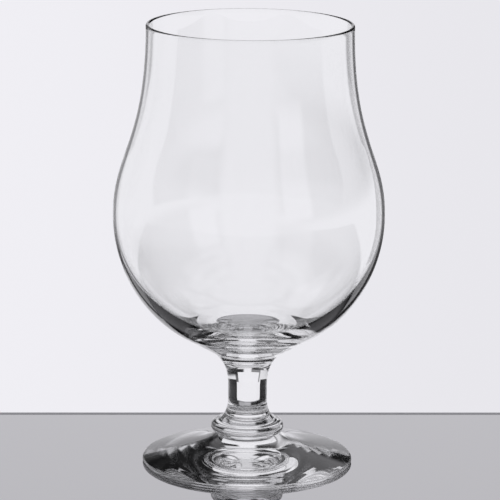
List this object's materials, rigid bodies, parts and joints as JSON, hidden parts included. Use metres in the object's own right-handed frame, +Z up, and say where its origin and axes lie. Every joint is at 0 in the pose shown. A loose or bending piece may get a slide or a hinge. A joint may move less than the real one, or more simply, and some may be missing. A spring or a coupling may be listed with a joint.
{
  "type": "stemmed beer glass",
  "caption": "Clear tulip-shaped beer glass: a blown bowl that swells to a belly and draws in at the rim, on a short solid stem with a bead collar and a round cone foot.",
  "frame": {"origin": "centre of the plane that the foot rests on", "axes": "+Z up along the axis of revolution, from the foot to the rim; X and Y are alike"},
  "size_m": [0.0912, 0.0912, 0.15],
  "materials": {
    "clear_glass": "fire-polished, clear and colourless"
  },
  "bodies": {
    "root": {"foot": "clear_glass", "collar": "clear_glass", "stem": "clear_glass", "bowl": "clear_glass"}
  },
  "joints": []
}
